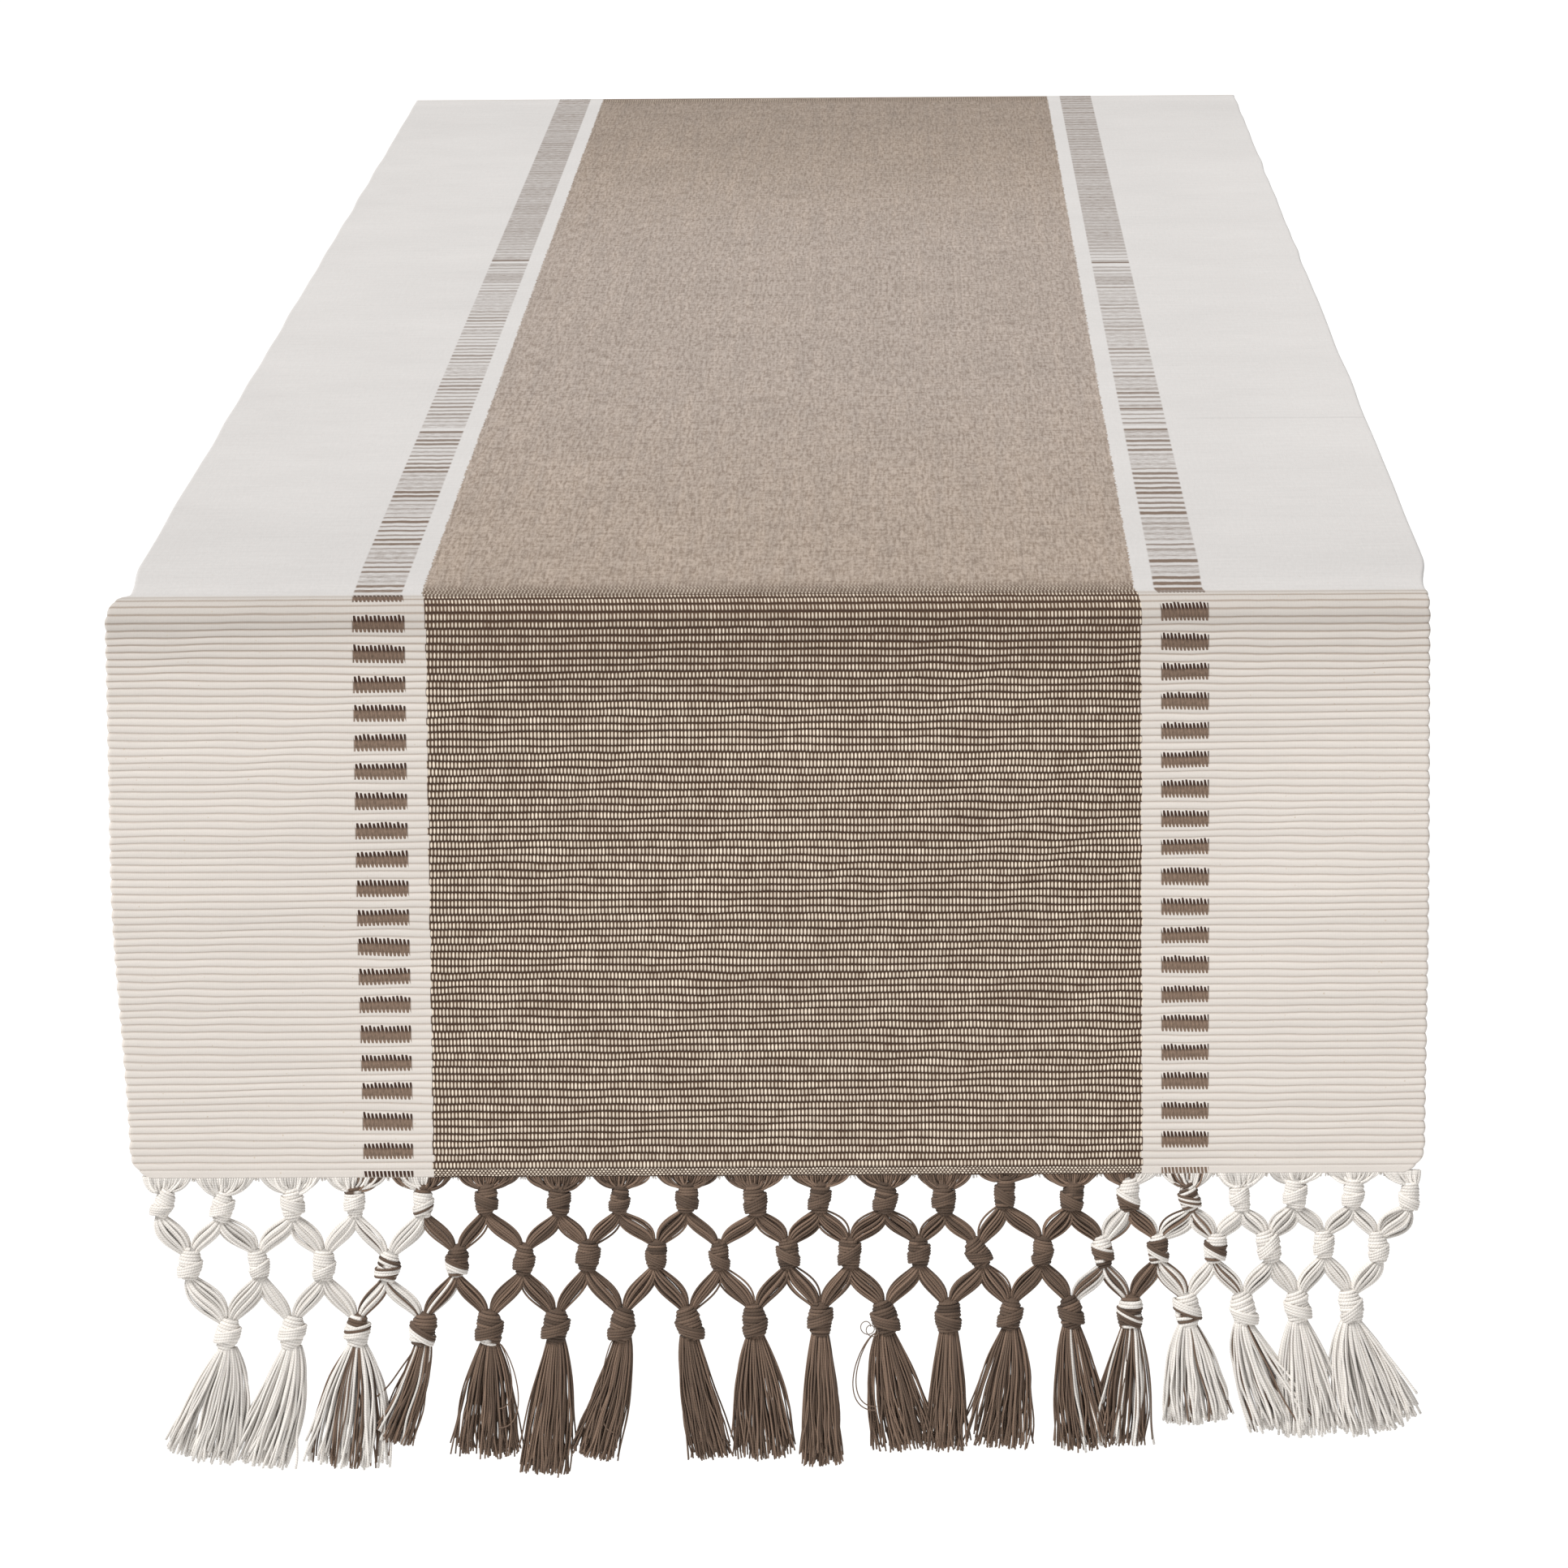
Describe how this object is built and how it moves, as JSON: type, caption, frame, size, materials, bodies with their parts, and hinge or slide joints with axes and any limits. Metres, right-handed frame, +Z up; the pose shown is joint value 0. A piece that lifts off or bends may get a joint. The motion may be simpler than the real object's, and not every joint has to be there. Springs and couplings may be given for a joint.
{
  "type": "table runner",
  "caption": "Long ribbed cotton table runner draped over a table, with a heathered centre panel, dashed bands and a knotted, tasselled fringe at each end.",
  "frame": {"origin": "on the table's surface, at the middle of the stretch of cloth that lies on it", "axes": "+Z up out of the table's surface, +Y along the runner towards its back end, X across it"},
  "size_m": [0.33, 1.3998, 0.2213],
  "materials": {
    "woven_cloth": "ribbed cotton, ecru with a heathered taupe centre",
    "fringe_yarn": "knotted cotton yarn, ecru at the sides and brown in the middle",
    "ecru_yarn": "soft ecru cotton yarn",
    "mixed_yarn": "ecru and brown cotton yarn together",
    "brown_yarn": "soft brown cotton yarn"
  },
  "bodies": {
    "runner_top": {"woven_top": "woven_cloth", "front_fold": "woven_cloth", "back_fold": "woven_cloth"},
    "front_flap": {"front_drop": "woven_cloth"},
    "front_net": {"front_warp_fans": "fringe_yarn", "front_upper_knots": "fringe_yarn", "front_upper_strands": "fringe_yarn", "front_middle_knots": "fringe_yarn", "front_lower_strands": "fringe_yarn"},
    "front_tassel_01": {"front_tassel_01": "ecru_yarn"},
    "front_tassel_02": {"front_tassel_02": "ecru_yarn"},
    "front_tassel_03": {"front_tassel_03": "mixed_yarn"},
    "front_tassel_04": {"front_tassel_04": "mixed_yarn"},
    "front_tassel_05": {"front_tassel_05": "brown_yarn"},
    "front_tassel_06": {"front_tassel_06": "brown_yarn"},
    "front_tassel_07": {"front_tassel_07": "brown_yarn"},
    "front_tassel_08": {"front_tassel_08": "brown_yarn"},
    "front_tassel_09": {"front_tassel_09": "brown_yarn"},
    "front_tassel_10": {"front_tassel_10": "brown_yarn"},
    "front_tassel_11": {"front_tassel_11": "brown_yarn"},
    "front_tassel_12": {"front_tassel_12": "brown_yarn"},
    "front_tassel_13": {"front_tassel_13": "brown_yarn"},
    "front_tassel_14": {"front_tassel_14": "brown_yarn"},
    "front_tassel_15": {"front_tassel_15": "mixed_yarn"},
    "front_tassel_16": {"front_tassel_16": "mixed_yarn"},
    "front_tassel_17": {"front_tassel_17": "mixed_yarn"},
    "front_tassel_18": {"front_tassel_18": "ecru_yarn"},
    "front_tassel_19": {"front_tassel_19": "ecru_yarn"},
    "back_flap": {"back_drop": "woven_cloth"},
    "back_net": {"back_warp_fans": "fringe_yarn", "back_upper_knots": "fringe_yarn", "back_upper_strands": "fringe_yarn", "back_middle_knots": "fringe_yarn", "back_lower_strands": "fringe_yarn"},
    "back_tassel_01": {"back_tassel_01": "ecru_yarn"},
    "back_tassel_02": {"back_tassel_02": "ecru_yarn"},
    "back_tassel_03": {"back_tassel_03": "mixed_yarn"},
    "back_tassel_04": {"back_tassel_04": "mixed_yarn"},
    "back_tassel_05": {"back_tassel_05": "brown_yarn"},
    "back_tassel_06": {"back_tassel_06": "brown_yarn"},
    "back_tassel_07": {"back_tassel_07": "brown_yarn"},
    "back_tassel_08": {"back_tassel_08": "brown_yarn"},
    "back_tassel_09": {"back_tassel_09": "brown_yarn"},
    "back_tassel_10": {"back_tassel_10": "brown_yarn"},
    "back_tassel_11": {"back_tassel_11": "brown_yarn"},
    "back_tassel_12": {"back_tassel_12": "brown_yarn"},
    "back_tassel_13": {"back_tassel_13": "brown_yarn"},
    "back_tassel_14": {"back_tassel_14": "brown_yarn"},
    "back_tassel_15": {"back_tassel_15": "mixed_yarn"},
    "back_tassel_16": {"back_tassel_16": "mixed_yarn"},
    "back_tassel_17": {"back_tassel_17": "mixed_yarn"},
    "back_tassel_18": {"back_tassel_18": "ecru_yarn"},
    "back_tassel_19": {"back_tassel_19": "ecru_yarn"}
  },
  "joints": [
    {"name": "front_flap_lift", "type": "hinge", "parent": "runner_top", "child": "front_flap", "pos_m": [0, -0.69267, -0.00023], "axis": [-1, 0, 0], "range_deg": [0, 90], "deforming": ["front_fold"]},
    {"name": "front_fringe_swing", "type": "hinge", "parent": "front_flap", "child": "front_net", "pos_m": [0, -0.6937, -0.1459], "axis": [-1, 0, 0], "range_deg": [-45, 75]},
    {"name": "front_tassel_01_swing", "type": "hinge", "parent": "front_net", "child": "front_tassel_01", "pos_m": [-0.14093, -0.6937, -0.18561], "axis": [-1, 0, 0], "range_deg": [-60, 60]},
    {"name": "front_tassel_02_swing", "type": "hinge", "parent": "front_net", "child": "front_tassel_02", "pos_m": [-0.12456, -0.6937, -0.18527], "axis": [-1, 0, 0], "range_deg": [-60, 60]},
    {"name": "front_tassel_03_swing", "type": "hinge", "parent": "front_net", "child": "front_tassel_03", "pos_m": [-0.10799, -0.6937, -0.18493], "axis": [-1, 0, 0], "range_deg": [-60, 60]},
    {"name": "front_tassel_04_swing", "type": "hinge", "parent": "front_net", "child": "front_tassel_04", "pos_m": [-0.09129, -0.6937, -0.18458], "axis": [-1, 0, 0], "range_deg": [-60, 60]},
    {"name": "front_tassel_05_swing", "type": "hinge", "parent": "front_net", "child": "front_tassel_05", "pos_m": [-0.07448, -0.6937, -0.18424], "axis": [-1, 0, 0], "range_deg": [-60, 60]},
    {"name": "front_tassel_06_swing", "type": "hinge", "parent": "front_net", "child": "front_tassel_06", "pos_m": [-0.05762, -0.6937, -0.1839], "axis": [-1, 0, 0], "range_deg": [-60, 60]},
    {"name": "front_tassel_07_swing", "type": "hinge", "parent": "front_net", "child": "front_tassel_07", "pos_m": [-0.04074, -0.6937, -0.18356], "axis": [-1, 0, 0], "range_deg": [-60, 60]},
    {"name": "front_tassel_08_swing", "type": "hinge", "parent": "front_net", "child": "front_tassel_08", "pos_m": [-0.02391, -0.6937, -0.18322], "axis": [-1, 0, 0], "range_deg": [-60, 60]},
    {"name": "front_tassel_09_swing", "type": "hinge", "parent": "front_net", "child": "front_tassel_09", "pos_m": [-0.00717, -0.6937, -0.18288], "axis": [-1, 0, 0], "range_deg": [-60, 60]},
    {"name": "front_tassel_10_swing", "type": "hinge", "parent": "front_net", "child": "front_tassel_10", "pos_m": [0.00941, -0.6937, -0.18254], "axis": [-1, 0, 0], "range_deg": [-60, 60]},
    {"name": "front_tassel_11_swing", "type": "hinge", "parent": "front_net", "child": "front_tassel_11", "pos_m": [0.02576, -0.6937, -0.1822], "axis": [-1, 0, 0], "range_deg": [-60, 60]},
    {"name": "front_tassel_12_swing", "type": "hinge", "parent": "front_net", "child": "front_tassel_12", "pos_m": [0.04184, -0.6937, -0.18185], "axis": [-1, 0, 0], "range_deg": [-60, 60]},
    {"name": "front_tassel_13_swing", "type": "hinge", "parent": "front_net", "child": "front_tassel_13", "pos_m": [0.05757, -0.6937, -0.18151], "axis": [-1, 0, 0], "range_deg": [-60, 60]},
    {"name": "front_tassel_14_swing", "type": "hinge", "parent": "front_net", "child": "front_tassel_14", "pos_m": [0.07292, -0.6937, -0.18117], "axis": [-1, 0, 0], "range_deg": [-60, 60]},
    {"name": "front_tassel_15_swing", "type": "hinge", "parent": "front_net", "child": "front_tassel_15", "pos_m": [0.08786, -0.6937, -0.18083], "axis": [-1, 0, 0], "range_deg": [-60, 60]},
    {"name": "front_tassel_16_swing", "type": "hinge", "parent": "front_net", "child": "front_tassel_16", "pos_m": [0.10238, -0.6937, -0.18049], "axis": [-1, 0, 0], "range_deg": [-60, 60]},
    {"name": "front_tassel_17_swing", "type": "hinge", "parent": "front_net", "child": "front_tassel_17", "pos_m": [0.1165, -0.6937, -0.18015], "axis": [-1, 0, 0], "range_deg": [-60, 60]},
    {"name": "front_tassel_18_swing", "type": "hinge", "parent": "front_net", "child": "front_tassel_18", "pos_m": [0.13025, -0.6937, -0.17981], "axis": [-1, 0, 0], "range_deg": [-60, 60]},
    {"name": "front_tassel_19_swing", "type": "hinge", "parent": "front_net", "child": "front_tassel_19", "pos_m": [0.14372, -0.6937, -0.17947], "axis": [-1, 0, 0], "range_deg": [-60, 60]},
    {"name": "back_flap_lift", "type": "hinge", "parent": "runner_top", "child": "back_flap", "pos_m": [0, 0.69267, -0.00023], "axis": [1, 0, 0], "range_deg": [0, 90], "deforming": ["back_fold"]},
    {"name": "back_fringe_swing", "type": "hinge", "parent": "back_flap", "child": "back_net", "pos_m": [0, 0.6937, -0.1459], "axis": [1, 0, 0], "range_deg": [-45, 75]},
    {"name": "back_tassel_01_swing", "type": "hinge", "parent": "back_net", "child": "back_tassel_01", "pos_m": [-0.14093, 0.6937, -0.18561], "axis": [1, 0, 0], "range_deg": [-60, 60]},
    {"name": "back_tassel_02_swing", "type": "hinge", "parent": "back_net", "child": "back_tassel_02", "pos_m": [-0.12456, 0.6937, -0.18527], "axis": [1, 0, 0], "range_deg": [-60, 60]},
    {"name": "back_tassel_03_swing", "type": "hinge", "parent": "back_net", "child": "back_tassel_03", "pos_m": [-0.10799, 0.6937, -0.18493], "axis": [1, 0, 0], "range_deg": [-60, 60]},
    {"name": "back_tassel_04_swing", "type": "hinge", "parent": "back_net", "child": "back_tassel_04", "pos_m": [-0.09129, 0.6937, -0.18458], "axis": [1, 0, 0], "range_deg": [-60, 60]},
    {"name": "back_tassel_05_swing", "type": "hinge", "parent": "back_net", "child": "back_tassel_05", "pos_m": [-0.07448, 0.6937, -0.18424], "axis": [1, 0, 0], "range_deg": [-60, 60]},
    {"name": "back_tassel_06_swing", "type": "hinge", "parent": "back_net", "child": "back_tassel_06", "pos_m": [-0.05762, 0.6937, -0.1839], "axis": [1, 0, 0], "range_deg": [-60, 60]},
    {"name": "back_tassel_07_swing", "type": "hinge", "parent": "back_net", "child": "back_tassel_07", "pos_m": [-0.04074, 0.6937, -0.18356], "axis": [1, 0, 0], "range_deg": [-60, 60]},
    {"name": "back_tassel_08_swing", "type": "hinge", "parent": "back_net", "child": "back_tassel_08", "pos_m": [-0.02391, 0.6937, -0.18322], "axis": [1, 0, 0], "range_deg": [-60, 60]},
    {"name": "back_tassel_09_swing", "type": "hinge", "parent": "back_net", "child": "back_tassel_09", "pos_m": [-0.00717, 0.6937, -0.18288], "axis": [1, 0, 0], "range_deg": [-60, 60]},
    {"name": "back_tassel_10_swing", "type": "hinge", "parent": "back_net", "child": "back_tassel_10", "pos_m": [0.00941, 0.6937, -0.18254], "axis": [1, 0, 0], "range_deg": [-60, 60]},
    {"name": "back_tassel_11_swing", "type": "hinge", "parent": "back_net", "child": "back_tassel_11", "pos_m": [0.02576, 0.6937, -0.1822], "axis": [1, 0, 0], "range_deg": [-60, 60]},
    {"name": "back_tassel_12_swing", "type": "hinge", "parent": "back_net", "child": "back_tassel_12", "pos_m": [0.04184, 0.6937, -0.18185], "axis": [1, 0, 0], "range_deg": [-60, 60]},
    {"name": "back_tassel_13_swing", "type": "hinge", "parent": "back_net", "child": "back_tassel_13", "pos_m": [0.05757, 0.6937, -0.18151], "axis": [1, 0, 0], "range_deg": [-60, 60]},
    {"name": "back_tassel_14_swing", "type": "hinge", "parent": "back_net", "child": "back_tassel_14", "pos_m": [0.07292, 0.6937, -0.18117], "axis": [1, 0, 0], "range_deg": [-60, 60]},
    {"name": "back_tassel_15_swing", "type": "hinge", "parent": "back_net", "child": "back_tassel_15", "pos_m": [0.08786, 0.6937, -0.18083], "axis": [1, 0, 0], "range_deg": [-60, 60]},
    {"name": "back_tassel_16_swing", "type": "hinge", "parent": "back_net", "child": "back_tassel_16", "pos_m": [0.10238, 0.6937, -0.18049], "axis": [1, 0, 0], "range_deg": [-60, 60]},
    {"name": "back_tassel_17_swing", "type": "hinge", "parent": "back_net", "child": "back_tassel_17", "pos_m": [0.1165, 0.6937, -0.18015], "axis": [1, 0, 0], "range_deg": [-60, 60]},
    {"name": "back_tassel_18_swing", "type": "hinge", "parent": "back_net", "child": "back_tassel_18", "pos_m": [0.13025, 0.6937, -0.17981], "axis": [1, 0, 0], "range_deg": [-60, 60]},
    {"name": "back_tassel_19_swing", "type": "hinge", "parent": "back_net", "child": "back_tassel_19", "pos_m": [0.14372, 0.6937, -0.17947], "axis": [1, 0, 0], "range_deg": [-60, 60]}
  ]
}
